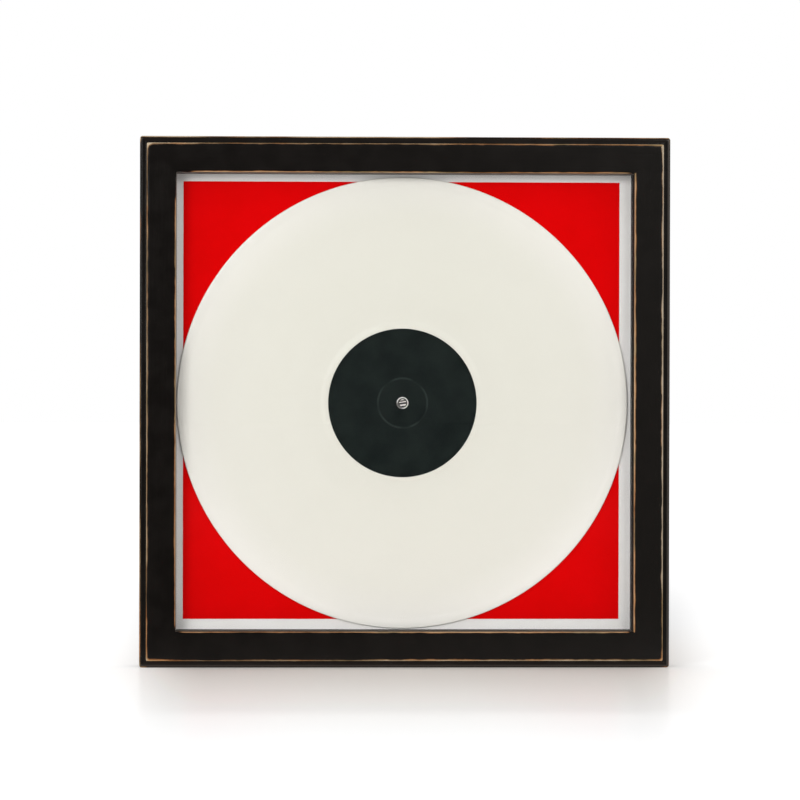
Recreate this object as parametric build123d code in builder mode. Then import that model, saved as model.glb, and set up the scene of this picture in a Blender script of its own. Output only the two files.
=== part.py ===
import os
from math import cos, radians, sin, sqrt

from build123d import *

# A deep, black painted wooden frame that displays a twelve inch record on a red panel.
# Millimetres, +Z up, the front looks along -Y. The origin lies on the surface that the frame
# stands on, midway along its width and its whole depth.

# Record
record_diameter = 301.6
record_thickness = 1.9
record_web = 1.4
record_edge_round = 0.55
record_rim_width = 3.0
record_slope = 0.9
spindle_hole = 7.24
label_diameter = 99.4
label_paper = 0.18
label_recess_play = 0.1
label_land_width = 1.6
press_ring_diameter = 33.0
press_ring_width = 1.1
press_ring_depth = 0.14
record_shift_x = -1.0
record_shift_z = -0.6

# Moulding
record_margin = 2.0
rail_width = 23.9
rabbet_width = 6.35
lip_depth = 10.0
ledge_width = 4.5
ledge_step = 1.6
outer_round = 1.4
quirk_round = 0.4
arris_round = 0.8
sight_round = 0.8
back_round = 0.6

# Layers behind the lip, from the front to the back
pane_thickness = 2.0
spacer_depth = 11.0
card_thickness = 1.2
board_thickness = 5.0
filler_thickness = 2.5
back_thickness = 3.0
back_recess = 0.3
red_panel_thickness = 0.25

# Side clearances and sizes of the layers
pane_clearance = 0.5
spacer_clearance = 0.25
spacer_show = 0.7
board_clearance = 0.6
card_clearance = 1.65
red_border_side = 11.5
red_border_end = 11.3
red_shift_x = -1.6
red_shift_z = 1.0
back_edge_chamfer = 0.5

# Bush and screw at the centre of the record
bush_fit = 0.05
bush_flange_width = 0.48
bush_flange_thickness = 0.6
bush_flange_round = 0.25
centre_screw_diameter = 3.0
centre_head_diameter = 5.5
centre_head_height = 2.0
centre_head_round = 0.35
centre_slot_width = 0.8
centre_slot_depth = 0.85
centre_slot_turn = 8.0
centre_screw_end_gap = 0.2
washer_diameter = 7.0
washer_thickness = 0.5
nut_across_flats = 5.5
nut_height = 2.4
nut_pocket_clearance = 0.6
nut_end_gap = 0.6
washer_bore_clearance = 0.1
thread_clearance = 0.05

# V nails across the mitres
nail_leg = 5.0
nail_rise = 3.0
nail_strip = 0.8
nail_length = 10.0
nail_sink = 0.5
nail_shares = (0.34, 0.68)

# Turn buttons and their screws
pivot_to_rabbet = 5.65
button_reach = 12.0
button_heel_radius = 5.0
button_tip_radius = 3.2
button_thickness = 1.2
button_edge_round = 0.3
button_play = 0.2
button_pivot_fit = 0.05
button_screw_diameter = 3.0
button_screw_length = 12.0
button_head_diameter = 6.0
button_head_height = 1.6

# Hangers
hanger_drop = 86.0
strap_width = 9.0
strap_gauge = 1.0
strap_end_round = 3.0
strap_end_margin = 6.0
strap_hole_step = 9.5
hanger_screw_diameter = 2.8
hanger_screw_length = 11.0
hanger_head_diameter = 5.4
hanger_head_height = 1.6
hanger_hole_clearance = 0.1
ring_wire = 2.0
ring_bar_play = 0.3
ring_bar_fit = 0.05
ring_shoulder = 2.2
ring_strap_gap = 0.3
ring_head_gap = 2.6

# Screw details
screw_slot_width = 0.8
screw_slot_depth = 0.7
screw_point_share = 0.3
screw_dome_share = 0.65

# Bumpers
bumper_diameter = 10.0
bumper_spare = 0.65
bumper_round = 1.5
bumper_taper = 8.0

# Past a face, so that a cut goes clean through it
overrun = 1.0

# Sizes that follow
sight_size = record_diameter + 2 * record_margin
outer_size = sight_size + 2 * rail_width
rabbet_size = sight_size + 2 * rabbet_width
back_wood_width = rail_width - rabbet_width
back_wood_middle = back_wood_width / 2
spacer_width = rabbet_width - spacer_clearance + spacer_show
pane_size = rabbet_size - 2 * pane_clearance
board_size = rabbet_size - 2 * board_clearance
card_size = rabbet_size - 2 * card_clearance
red_panel_width = card_size - 2 * red_border_side
red_panel_height = card_size - 2 * red_border_end

pane_back = lip_depth + pane_thickness
card_front = pane_back + spacer_depth
card_back = card_front + card_thickness
board_back = card_back + board_thickness
filler_back = board_back + filler_thickness
panel_back = filler_back + back_thickness
rail_depth = panel_back + back_recess
red_front = card_front - red_panel_thickness
record_front = red_front - record_thickness

bush_front = record_front - bush_flange_thickness
bush_flange_diameter = spindle_hole + 2 * bush_flange_width
nut_pocket_depth = washer_thickness + nut_height + nut_end_gap
centre_hole_radius = centre_screw_diameter / 2 + thread_clearance

pivot_inset = back_wood_width - pivot_to_rabbet

ring_radius = ring_wire / 2
half_bar = strap_width / 2 + ring_bar_play
bow_radius = half_bar + ring_shoulder
ring_reach = ring_shoulder + bow_radius + ring_radius
loop_inner_radius = ring_radius + ring_bar_fit
loop_outer_radius = loop_inner_radius + strap_gauge
ring_stand = strap_gauge + ring_strap_gap + ring_radius
bumper_thickness = ring_stand + loop_outer_radius + bumper_spare
whole_depth = rail_depth + bumper_thickness

front_y = -whole_depth / 2
rail_back_y = front_y + rail_depth
centre_z = outer_size / 2
record_x = record_shift_x
record_z = centre_z + record_shift_z
hanger_x = outer_size / 2 - back_wood_middle
hanger_z = outer_size - hanger_drop
upper_screw_drop = ring_reach + ring_head_gap + hanger_head_diameter / 2
lower_screw_drop = upper_screw_drop + strap_hole_step
hanger_screw_drops = (upper_screw_drop, lower_screw_drop)
strap_length = lower_screw_drop + strap_end_margin

# Quarter turns of the four sides about the middle of the frame, from the bottom side
bottom_turn = 0
right_turn = 90
top_turn = 180
left_turn = 270


def layer(depth, x=0, z=centre_z):
    """Plane seen from the front, a depth behind the frame's face, that looks forward."""
    return Plane(origin=(x, front_y + depth, z), x_dir=(1, 0, 0), z_dir=(0, -1, 0))


def wall_plane(x, z, turn=0):
    """Plane on the rails' back that looks at the wall. Its local Y leans from +Z by the turn."""
    across = (-cos(radians(turn)), 0, sin(radians(turn)))
    return Plane(origin=(x, rail_back_y, z), x_dir=across, z_dir=(0, 1, 0))


def side_plane(turn, depth):
    """Plane at the middle of one side's outer edge: X runs along the side and Y points inward."""
    along = (cos(radians(turn)), 0, sin(radians(turn)))
    inward = (-sin(radians(turn)), 0, cos(radians(turn)))
    reach = outer_size / 2
    origin = (-reach * inward[0], front_y + depth, centre_z - reach * inward[2])
    return Plane(origin=origin, x_dir=along, z_dir=(0, -1, 0))


def side_point(turn, along, inward):
    """X and Z of a point that lies along and inward from the middle of a side's outer edge."""
    place = side_plane(turn, 0).from_local_coords((along, inward))
    return place.X, place.Z


def keep(piece, name):
    """Label a finished piece and write its file."""
    piece.part.label = name
    export_step(piece.part, f"parts/{name}.step")


def wood_screw(head_diameter, head_height, shank_diameter, shank_length):
    """Slotted pan head screw along Z with the underside of its head at zero."""
    head_radius = head_diameter / 2
    shank_radius = shank_diameter / 2
    point_length = shank_length * screw_point_share
    with BuildPart() as screw:
        with BuildSketch(Plane.XZ):
            with BuildLine():
                FilletPolyline(
                    (0, head_height),
                    (0, -shank_length),
                    (shank_radius, point_length - shank_length),
                    (shank_radius, 0),
                    (head_radius, 0),
                    (head_radius, head_height),
                    radius=(0, 0, 0, 0, 0, head_height * screw_dome_share),
                    close=True,
                )
            make_face()
        revolve(axis=Axis.Z)
        with BuildSketch(Plane.XY.offset(head_height)):
            Rectangle(head_diameter, screw_slot_width)
        extrude(amount=-screw_slot_depth, mode=Mode.SUBTRACT)
    return screw.part


def moulding(turn, hanger_places):
    """One mitred side of the frame. Hanger screws go in at pairs along and inward from its edge."""
    section_plane = Plane(
        origin=side_plane(turn, 0).origin,
        x_dir=side_plane(turn, 0).y_dir,
        z_dir=-side_plane(turn, 0).x_dir,
    )
    with BuildPart() as side:
        with BuildSketch(section_plane):
            with BuildLine():
                FilletPolyline(
                    (0, ledge_step),
                    (ledge_width, ledge_step),
                    (ledge_width, 0),
                    (rail_width, 0),
                    (rail_width, lip_depth),
                    (back_wood_width, lip_depth),
                    (back_wood_width, rail_depth),
                    (0, rail_depth),
                    radius=(outer_round, quirk_round, arris_round, sight_round, 0, 0, 0, back_round),
                    close=True,
                )
            make_face()
        extrude(amount=outer_size / 2, both=True)
        with BuildSketch(side_plane(turn, rail_depth)):
            Trapezoid(outer_size, rail_width, 45, align=(Align.CENTER, Align.MIN))
        extrude(amount=rail_depth, mode=Mode.INTERSECT)
        add(corner_v_nails.part, mode=Mode.SUBTRACT)
        with BuildSketch(side_plane(turn, rail_depth)):
            with Locations((0, pivot_inset)):
                Circle(button_screw_diameter / 2 + thread_clearance)
        extrude(amount=button_screw_length, mode=Mode.SUBTRACT)
        if hanger_places:
            with BuildSketch(side_plane(turn, rail_depth)):
                with Locations(*hanger_places):
                    Circle(hanger_screw_diameter / 2 + thread_clearance)
            extrude(amount=hanger_screw_length, mode=Mode.SUBTRACT)
    return side


def round_hole(radius, back_depth, length):
    """Cut a round hole on the record's axis, forward from a depth, through the piece being made."""
    with BuildSketch(layer(back_depth, record_x, record_z)) as hole:
        Circle(radius)
    extrude(hole.sketch, amount=length, mode=Mode.SUBTRACT)


def spacer(turn):
    """Strip between the pane and the card that shows inside the sight. Two sides fit between two."""
    inner_size = sight_size - 2 * spacer_show
    overlap = spacer_width if turn in (bottom_turn, top_turn) else 0
    with BuildPart() as strip:
        with BuildSketch(side_plane(turn, card_front)):
            with Locations((0, rail_width + spacer_show)):
                Rectangle(inner_size + 2 * overlap, spacer_width, align=(Align.CENTER, Align.MAX))
        extrude(amount=spacer_depth)
    return strip


def record_section(front_sign):
    """Half of the record's outline, from the bore to the rim, as radius and height."""
    half = record_thickness / 2 * front_sign
    web = record_web / 2 * front_sign
    seat = (record_thickness / 2 - label_paper) * front_sign
    groove = seat - press_ring_depth * front_sign
    ring_middle = press_ring_diameter / 2
    ring_half = press_ring_width / 2
    label_edge = label_diameter / 2 + label_recess_play
    land_edge = label_edge + label_land_width
    rim_start = record_diameter / 2 - record_rim_width
    return [
        (spindle_hole / 2, seat),
        (ring_middle - ring_half, seat),
        (ring_middle, groove),
        (ring_middle + ring_half, seat),
        (label_edge, seat),
        (label_edge, half),
        (land_edge, half),
        (land_edge + record_slope, web),
        (rim_start - record_slope, web),
        (rim_start, half),
        (record_diameter / 2, half),
    ]


def record_axis_plane(depth):
    """Plane through the record's axis: X runs outward from the axis and Y points forward."""
    return Plane(origin=(record_x, front_y + depth, record_z), x_dir=(1, 0, 0), z_dir=(0, 0, -1))


def record_label(face_depth, forward):
    """Paper label with its pressed ring. Its face looks forward or, with -1, back."""
    ring_middle = press_ring_diameter / 2
    ring_half = press_ring_width / 2
    top = [
        (spindle_hole / 2, 0),
        (ring_middle - ring_half, 0),
        (ring_middle, -press_ring_depth * forward),
        (ring_middle + ring_half, 0),
        (label_diameter / 2, 0),
    ]
    under = [(radius, height - label_paper * forward) for radius, height in reversed(top)]
    axis_plane = record_axis_plane(face_depth)
    with BuildPart() as label:
        with BuildSketch(axis_plane):
            with BuildLine():
                Polyline(*top, *under, close=True)
            make_face()
        revolve(axis=Axis(axis_plane.origin, axis_plane.y_dir))
    return label


def turn_button(turn):
    """Stamped steel button that points inward over the back panel from its pivot."""
    tip_distance = button_reach - button_tip_radius
    pivot_x, pivot_z = side_point(turn, 0, pivot_inset)
    inward = side_plane(turn, 0).y_dir
    button_plane = Plane(
        origin=(pivot_x, rail_back_y + button_play, pivot_z),
        x_dir=inward,
        z_dir=(0, 1, 0),
    )
    with BuildPart() as button:
        with BuildSketch(button_plane):
            Circle(button_heel_radius)
            with Locations((tip_distance, 0)):
                Circle(button_tip_radius)
            make_hull()
        extrude(amount=button_thickness)
        flats = button.faces().filter_by(Axis.Y)
        fillet(flats.edges(), radius=button_edge_round)
        with BuildSketch(button_plane):
            Circle(button_screw_diameter / 2 + button_pivot_fit)
        extrude(amount=button_thickness, mode=Mode.SUBTRACT)
    return button


def hanger_strap(side):
    """Steel strap on a stile, curled round the bar of its ring at the top."""
    profile_plane = Plane(
        origin=(side * hanger_x, rail_back_y, hanger_z),
        x_dir=(0, 1, 0),
        z_dir=(1, 0, 0),
    )
    with BuildPart() as strap:
        with BuildSketch(profile_plane):
            Rectangle(strap_gauge, strap_length, align=(Align.MIN, Align.MAX))
            with Locations((ring_stand, 0)):
                Circle(loop_outer_radius)
                Circle(loop_inner_radius, mode=Mode.SUBTRACT)
        extrude(amount=strap_width / 2, both=True)
        foot_edges = strap.edges().filter_by(Axis.Y).group_by(Axis.Z)[0]
        fillet(foot_edges, radius=strap_end_round)
        with BuildSketch(wall_plane(side * hanger_x, hanger_z)):
            with Locations(*[(0, -drop) for drop in hanger_screw_drops]):
                Circle(hanger_screw_diameter / 2 + hanger_hole_clearance)
        extrude(amount=strap_gauge, mode=Mode.SUBTRACT)
    return strap


def hanger_ring(side):
    """D shaped wire ring that hangs from its straight bar."""
    ring_plane = Plane(
        origin=(side * hanger_x, rail_back_y + ring_stand, hanger_z),
        x_dir=(1, 0, 0),
        z_dir=(0, -1, 0),
    )
    with BuildPart() as ring:
        with BuildLine(ring_plane) as wire:
            bar = Line((-half_bar, 0), (half_bar, 0))
            shoulder = JernArc(bar @ 1, bar % 1, ring_shoulder, -90)
            bow = JernArc(shoulder @ 1, shoulder % 1, bow_radius, -180)
            JernArc(bow @ 1, bow % 1, ring_shoulder, -90)
        with BuildSketch(Plane(origin=wire.line @ 0, z_dir=wire.line % 0)):
            Circle(ring_radius)
        sweep(path=wire.line)
    return ring


os.makedirs("parts", exist_ok=True)

# V nails, two across each mitre, driven in from the back
with BuildPart() as corner_v_nails:
    mitre_length = back_wood_width * sqrt(2)
    corner_radius = outer_size / 2 * sqrt(2)
    with BuildSketch(layer(rail_depth - nail_sink)):
        for nail_share in nail_shares:
            with PolarLocations(corner_radius - nail_share * mitre_length, 4, start_angle=45):
                Polygon(
                    (0, -nail_leg),
                    (nail_rise, 0),
                    (0, nail_leg),
                    (-nail_strip, nail_leg),
                    (nail_rise - nail_strip, 0),
                    (-nail_strip, -nail_leg),
                    align=None,
                )
    extrude(amount=nail_length)
keep(corner_v_nails, "corner_v_nails")

# The four sides, with holes for the screws that go into their backs
hanger_along = hanger_z - centre_z
right_hanger_places = [(hanger_along - drop, back_wood_middle) for drop in hanger_screw_drops]
left_hanger_places = [(drop - hanger_along, back_wood_middle) for drop in hanger_screw_drops]
keep(moulding(bottom_turn, []), "bottom_rail")
keep(moulding(right_turn, right_hanger_places), "right_stile")
keep(moulding(top_turn, []), "top_rail")
keep(moulding(left_turn, left_hanger_places), "left_stile")

# Clear pane behind the lip
with BuildPart() as glazing_pane:
    with BuildSketch(layer(pane_back)):
        Rectangle(pane_size, pane_size)
    extrude(amount=pane_thickness)
keep(glazing_pane, "glazing_pane")

# Strips that keep the pane off the record
keep(spacer(bottom_turn), "bottom_spacer")
keep(spacer(right_turn), "right_spacer")
keep(spacer(top_turn), "top_spacer")
keep(spacer(left_turn), "left_spacer")

# Record with a raised rim, a raised land round each label and a seat for each label
with BuildPart() as record_disc:
    axis_plane = record_axis_plane(record_front + record_thickness / 2)
    front_half = record_section(1)
    back_half = list(reversed(record_section(-1)))
    sharp = [0] * (len(front_half) - 1)
    with BuildSketch(axis_plane):
        with BuildLine():
            FilletPolyline(
                *front_half,
                *back_half,
                radius=(*sharp, record_edge_round, record_edge_round, *sharp),
                close=True,
            )
        make_face()
    revolve(axis=Axis(axis_plane.origin, axis_plane.y_dir))
keep(record_disc, "record_disc")
keep(record_label(record_front, 1), "front_label")
keep(record_label(red_front, -1), "back_label")

# Red panel, stuck to the white card behind it
with BuildPart() as red_panel:
    with BuildSketch(layer(card_front, red_shift_x, centre_z + red_shift_z)):
        Rectangle(red_panel_width, red_panel_height)
    extrude(amount=red_panel_thickness)
    round_hole(centre_hole_radius, card_front, red_panel_thickness)
keep(red_panel, "red_panel")

# White card, whose border shows round the red panel
with BuildPart() as sleeve_card:
    with BuildSketch(layer(card_back)):
        Rectangle(card_size, card_size)
    extrude(amount=card_thickness)
    round_hole(centre_hole_radius, card_back, card_thickness)
keep(sleeve_card, "sleeve_card")

# Board that carries the record, with a pocket for the nut in its back
with BuildPart() as mount_board:
    with BuildSketch(layer(board_back)):
        Rectangle(board_size, board_size)
    extrude(amount=board_thickness)
    round_hole(centre_hole_radius, board_back, board_thickness)
    nut_corner_radius = nut_across_flats / sqrt(3)
    pocket_radius = max(nut_corner_radius, washer_diameter / 2) + nut_pocket_clearance
    round_hole(pocket_radius, board_back, nut_pocket_depth)
keep(mount_board, "mount_board")

# Packing sheet between the board and the back
with BuildPart() as filler_board:
    with BuildSketch(layer(filler_back)):
        Rectangle(board_size, board_size)
    extrude(amount=filler_thickness)
keep(filler_board, "filler_board")

# Back panel with eased rear edges
with BuildPart() as back_panel:
    with BuildSketch(layer(panel_back)):
        Rectangle(board_size, board_size)
    extrude(amount=back_thickness)
    chamfer(back_panel.faces().sort_by(Axis.Y)[-1].edges(), length=back_edge_chamfer)
keep(back_panel, "back_panel")

# Top hat bush that centres the record on its screw
with BuildPart() as centre_bush:
    with BuildSketch(layer(record_front, record_x, record_z)):
        Circle(bush_flange_diameter / 2)
    extrude(amount=bush_flange_thickness)
    flange_rim = centre_bush.faces().sort_by(Axis.Y)[0].edges()
    fillet(flange_rim, radius=bush_flange_round)
    with BuildSketch(layer(red_front, record_x, record_z)):
        Circle(spindle_hole / 2 - bush_fit)
    extrude(amount=record_thickness)
    round_hole(centre_hole_radius, red_front, record_thickness + bush_flange_thickness)
keep(centre_bush, "centre_bush")

# Slotted screw through the bush, the red panel, the card and the board
with BuildPart() as centre_screw:
    with BuildSketch(layer(bush_front, record_x, record_z)):
        Circle(centre_head_diameter / 2)
    extrude(amount=centre_head_height)
    head_rim = centre_screw.faces().sort_by(Axis.Y)[0].edges()
    fillet(head_rim, radius=centre_head_round)
    screw_end = board_back - centre_screw_end_gap
    with BuildSketch(layer(screw_end, record_x, record_z)):
        Circle(centre_screw_diameter / 2)
    extrude(amount=screw_end - bush_front)
    with BuildSketch(layer(bush_front - centre_head_height, record_x, record_z)):
        Rectangle(centre_head_diameter + overrun, centre_slot_width, rotation=centre_slot_turn)
    extrude(amount=-centre_slot_depth, mode=Mode.SUBTRACT)
keep(centre_screw, "centre_screw")

pocket_floor = board_back - nut_pocket_depth
washer_back = pocket_floor + washer_thickness
with BuildPart() as centre_washer:
    with BuildSketch(layer(washer_back, record_x, record_z)):
        Circle(washer_diameter / 2)
        Circle(centre_screw_diameter / 2 + washer_bore_clearance, mode=Mode.SUBTRACT)
    extrude(amount=washer_thickness)
keep(centre_washer, "centre_washer")

with BuildPart() as centre_nut:
    with BuildSketch(layer(washer_back + nut_height, record_x, record_z)):
        RegularPolygon(nut_across_flats / 2, 6, major_radius=False)
        Circle(centre_hole_radius, mode=Mode.SUBTRACT)
    extrude(amount=nut_height)
keep(centre_nut, "centre_nut")

# Turn buttons and the screws that they turn on
keep(turn_button(bottom_turn), "turn_button_bottom")
keep(turn_button(right_turn), "turn_button_right")
keep(turn_button(top_turn), "turn_button_top")
keep(turn_button(left_turn), "turn_button_left")
with BuildPart() as turn_button_screws:
    button_head_stand = button_thickness + 2 * button_play
    button_screw = wood_screw(
        button_head_diameter, button_head_height, button_screw_diameter, button_screw_length
    )
    for turn in (bottom_turn, right_turn, top_turn, left_turn):
        with Locations(wall_plane(*side_point(turn, 0, pivot_inset), turn).offset(button_head_stand)):
            add(button_screw)
keep(turn_button_screws, "turn_button_screws")

# Hangers: straps, rings and screws
keep(hanger_strap(-1), "left_hanger_strap")
keep(hanger_strap(1), "right_hanger_strap")
keep(hanger_ring(-1), "left_hanger_ring")
keep(hanger_ring(1), "right_hanger_ring")
with BuildPart() as hanger_screws:
    hanger_screw = wood_screw(
        hanger_head_diameter, hanger_head_height, hanger_screw_diameter, hanger_screw_length
    )
    for side in (-1, 1):
        for drop in hanger_screw_drops:
            with Locations(wall_plane(side * hanger_x, hanger_z - drop).offset(strap_gauge)):
                add(hanger_screw)
keep(hanger_screws, "hanger_screws")

# Rubber pads that keep the lower edge off the wall
with BuildPart() as wall_bumpers:
    with BuildSketch(wall_plane(0, back_wood_middle)):
        with GridLocations(outer_size - 2 * back_wood_middle, 0, 2, 1):
            Circle(bumper_diameter / 2)
    extrude(amount=bumper_thickness, taper=bumper_taper)
    fillet(wall_bumpers.faces().group_by(Axis.Y)[-1].edges(), radius=bumper_round)
keep(wall_bumpers, "wall_bumpers")
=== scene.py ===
import math

import bmesh
import bpy
from mathutils import Matrix, Vector, noise


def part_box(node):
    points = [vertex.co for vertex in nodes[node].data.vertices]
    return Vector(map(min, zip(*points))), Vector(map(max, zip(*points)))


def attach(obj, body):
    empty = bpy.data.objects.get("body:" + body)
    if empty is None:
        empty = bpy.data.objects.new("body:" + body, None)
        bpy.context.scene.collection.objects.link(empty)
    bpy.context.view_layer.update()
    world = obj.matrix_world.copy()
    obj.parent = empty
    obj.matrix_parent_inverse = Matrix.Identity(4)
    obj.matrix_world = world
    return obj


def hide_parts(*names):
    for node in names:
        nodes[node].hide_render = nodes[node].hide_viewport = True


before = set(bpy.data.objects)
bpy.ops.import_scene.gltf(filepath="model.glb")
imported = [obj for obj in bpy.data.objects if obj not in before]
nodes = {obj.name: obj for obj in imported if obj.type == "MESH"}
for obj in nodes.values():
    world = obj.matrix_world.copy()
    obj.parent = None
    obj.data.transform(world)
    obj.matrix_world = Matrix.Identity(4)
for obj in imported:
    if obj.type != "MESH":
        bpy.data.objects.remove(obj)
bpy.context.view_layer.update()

# The looks of a black painted, edge worn wooden frame that displays a record on a red panel.
# Metres, +Z up, and the front looks along -Y, as in the frame.
MM = 0.001

# Moulding sizes, as in the frame: distances inward from the outer edge and depths from the face
LEDGE_WIDTH = 4.5 * MM
LEDGE_STEP = 1.6 * MM
RABBET_WIDTH = 6.35 * MM
LIP_DEPTH = 10.0 * MM
OUTER_ROUND = 1.4 * MM
QUIRK_ROUND = 0.4 * MM
ARRIS_ROUND = 0.8 * MM
SIGHT_ROUND = 0.8 * MM
BACK_ROUND = 0.6 * MM

# Rounding that only wear gives. At the frame's corners it fades inward over CORNER_FADE, and
# section points less deep than FACE_DEPTH count as on the raised face.
LIP_BACK_ROUND = 0.2 * MM
CORNER_ROUND = 1.8 * MM
FACE_CORNER_ROUND = 1.0 * MM
CORNER_FADE = 6.0 * MM
FACE_DEPTH = ARRIS_ROUND * 1.4

top_low, top_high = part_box("top_rail")
bottom_low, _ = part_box("bottom_rail")
HALF = top_high.x
CENTRE_Z = (top_high.z + bottom_low.z) / 2
FRONT_Y = top_low.y
RAIL_DEPTH = top_high.y - top_low.y
RAIL_WIDTH = top_high.z - top_low.z
BACK_WOOD = RAIL_WIDTH - RABBET_WIDTH
SIGHT_HALF = HALF - RAIL_WIDTH

# Record sizes, as in the frame
disc_low, disc_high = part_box("record_disc")
RECORD_X = (disc_low.x + disc_high.x) / 2
RECORD_Z = (disc_low.z + disc_high.z) / 2
RECORD_RADIUS = (disc_high.x - disc_low.x) / 2
RECORD_FRONT = disc_low.y
RECORD_BACK = disc_high.y
HOLE_RADIUS = 3.62 * MM
LABEL_RADIUS = 49.7 * MM
LABEL_PAPER = 0.18 * MM
LABEL_PLAY = 0.1 * MM
LAND_WIDTH = 1.6 * MM
WEB_DROP = 0.25 * MM
RIM_WIDTH = 3.0 * MM
EDGE_ROUND = 0.55 * MM
PRESS_RING_RADIUS = 16.5 * MM
PRESS_RING_HALF = 0.55 * MM
PRESS_RING_DEPTH = 0.14 * MM

# Softer than in the frame, because the photograph shows no step beside the label or the rim
SLOPE_WIDTH = 4.2 * MM

# Camera, fitted to the corners of the frame in the photograph
CAMERA_PLACE = Vector((-0.1823, -3.8, 0.2133))
CAMERA_YAW = math.radians(2.7066)
CAMERA_PITCH = math.radians(-0.5306)
CAMERA_ROLL = math.radians(0.1325)
CAMERA_LENS = 255.94
SENSOR_WIDTH = 36.0
CAMERA_REACH = 60.0

# Angles, in degrees, past which an edge stays sharp
SHARP_ANGLE = 30
SIDE_SHARP_ANGLE = 40
RECORD_SHARP_ANGLE = 25

# The middle range of a noise texture, where most of its values lie
CLOUD = (0.3, 0.7)


def linear(red, green, blue):
    """A colour written as 0 to 255 display values, as the linear values that nodes take."""
    shares = [value / 255 for value in (red, green, blue)]
    return tuple(s / 12.92 if s <= 0.04045 else ((s + 0.055) / 1.055) ** 2.4 for s in shares)


def rgba(*values):
    return (*linear(*values), 1.0)


class Nodes:
    """A node tree. Each call adds a node and gives the socket that it ends in."""

    def __init__(self, tree):
        self.tree = tree

    def feed(self, socket, value):
        if isinstance(value, bpy.types.NodeSocket):
            self.tree.links.new(value, socket)
        else:
            socket.default_value = value

    def node(self, kind, inputs=(), **settings):
        made = self.tree.nodes.new(kind)
        for key, value in settings.items():
            setattr(made, key, value)
        for key, value in dict(inputs).items():
            self.feed(made.inputs[key], value)
        return made

    def math(self, operation, *values, clamp=False):
        made = self.node("ShaderNodeMath", enumerate(values), operation=operation, use_clamp=clamp)
        return made.outputs[0]

    def chain(self, operation, values):
        total = values[0]
        for value in values[1:]:
            total = self.math(operation, total, value)
        return total

    def plus(self, *values):
        return self.chain("ADD", values)

    def minus(self, first, second):
        return self.math("SUBTRACT", first, second)

    def times(self, *values):
        return self.chain("MULTIPLY", values)

    def most(self, *values):
        return self.chain("MAXIMUM", values)

    def least(self, *values):
        return self.chain("MINIMUM", values)

    def one_minus(self, share):
        return self.minus(1.0, share)

    def length(self, first, second):
        return self.math("SQRT", self.plus(self.times(first, first), self.times(second, second)))

    def parts(self, vector):
        split = self.node("ShaderNodeSeparateXYZ", {0: vector})
        return split.outputs[0], split.outputs[1], split.outputs[2]


class Finish(Nodes):
    """One node material."""

    def __init__(self, name):
        self.material = bpy.data.materials.new(name)
        self.material.use_nodes = True
        super().__init__(self.material.node_tree)
        self.shader = self.tree.nodes["Principled BSDF"]
        self.output = self.tree.nodes["Material Output"]

    def set(self, **values):
        """Set or link inputs of the shader, where an underscore stands for a space."""
        for key, value in values.items():
            self.feed(self.shader.inputs[key.replace("_", " ")], value)

    def place(self):
        return self.node("ShaderNodeTexCoord").outputs["Object"]

    def grain_map(self):
        return self.node("ShaderNodeUVMap", uv_map="grain").outputs["UV"]

    def scaled(self, vector, scale):
        inputs = {0: vector, 1: scale}
        return self.node("ShaderNodeVectorMath", inputs, operation="MULTIPLY").outputs[0]

    def noise(self, vector, scale, detail=2.0, roughness=0.5, distortion=0.0):
        inputs = {
            "Vector": vector,
            "Scale": scale,
            "Detail": detail,
            "Roughness": roughness,
            "Distortion": distortion,
        }
        return self.node("ShaderNodeTexNoise", inputs).outputs[0]

    def span(self, value, low, high, to_low=0.0, to_high=1.0, smooth=True):
        """The value brought from one range to another and held inside it."""
        if low > high:
            low, high, to_low, to_high = high, low, to_high, to_low
        inputs = {"Value": value, "From Min": low, "From Max": high, "To Min": to_low, "To Max": to_high}
        kind = "SMOOTHSTEP" if smooth else "LINEAR"
        return self.node("ShaderNodeMapRange", inputs, interpolation_type=kind).outputs[0]

    def stretch(self, value, low, high, soft):
        """One between two places along a side, with soft ends, and zero elsewhere."""
        begun = self.span(value, low - soft, low)
        return self.times(begun, self.span(value, high, high + soft, 1.0, 0.0))

    def ramp(self, value, stops):
        made = self.node("ShaderNodeValToRGB", {0: value})
        points = made.color_ramp.elements
        while len(points) < len(stops):
            points.new(0.5)
        for point, (place, colour) in zip(points, stops):
            point.position = place
            point.color = colour
        return made.outputs[0]

    def mix(self, share, first, second):
        inputs = {0: share, 6: first, 7: second}
        return self.node("ShaderNodeMix", inputs, data_type="RGBA").outputs[2]

    def bump(self, height, distance, strength=1.0):
        inputs = {"Height": height, "Distance": distance, "Strength": strength}
        return self.node("ShaderNodeBump", inputs).outputs[0]

    def square_distance(self, across, up, half, corner):
        """How far a point lies outside a square with round corners. Below zero it lies inside."""
        reach = self.minus(half, corner)
        x = self.minus(across, reach)
        z = self.minus(up, reach)
        outside = self.length(self.most(x, 0.0), self.most(z, 0.0))
        inside = self.least(self.most(x, z), 0.0)
        return self.minus(self.plus(outside, inside), corner)

    def from_record_axis(self):
        """A point's distance from the record's axis, its offsets from it, and its depth."""
        x, y, z = self.parts(self.place())
        dx = self.minus(x, RECORD_X)
        dz = self.minus(z, RECORD_Z)
        return self.length(dx, dz), dx, dz, y


# Painted wood

# Colours of the paint by place, and of the wood that shows through it in some places
# The first two paint colours are painted shading: darker at the left, lighter toward the right
PAINT_SHADED_LEFT = rgba(15, 12, 10)
PAINT_LIT_RIGHT = rgba(24, 22, 20)
PAINT_CLOUD = rgba(26, 22, 19)
PAINT_LEDGE = rgba(42, 34, 27)
# A painted highlight colour for the outer rims of the right side and the bottom
RIM_HIGHLIGHT = rgba(86, 80, 75)
THIN_PAINT = rgba(70, 56, 44)
OLIVE_WALL = rgba(68, 50, 26)
# The cream wood colour is a painted highlight on the worn strip of the right side
CREAM_WOOD_HIGHLIGHT = rgba(182, 170, 152)
DARK_FIBRE = rgba(84, 60, 40)

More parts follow.
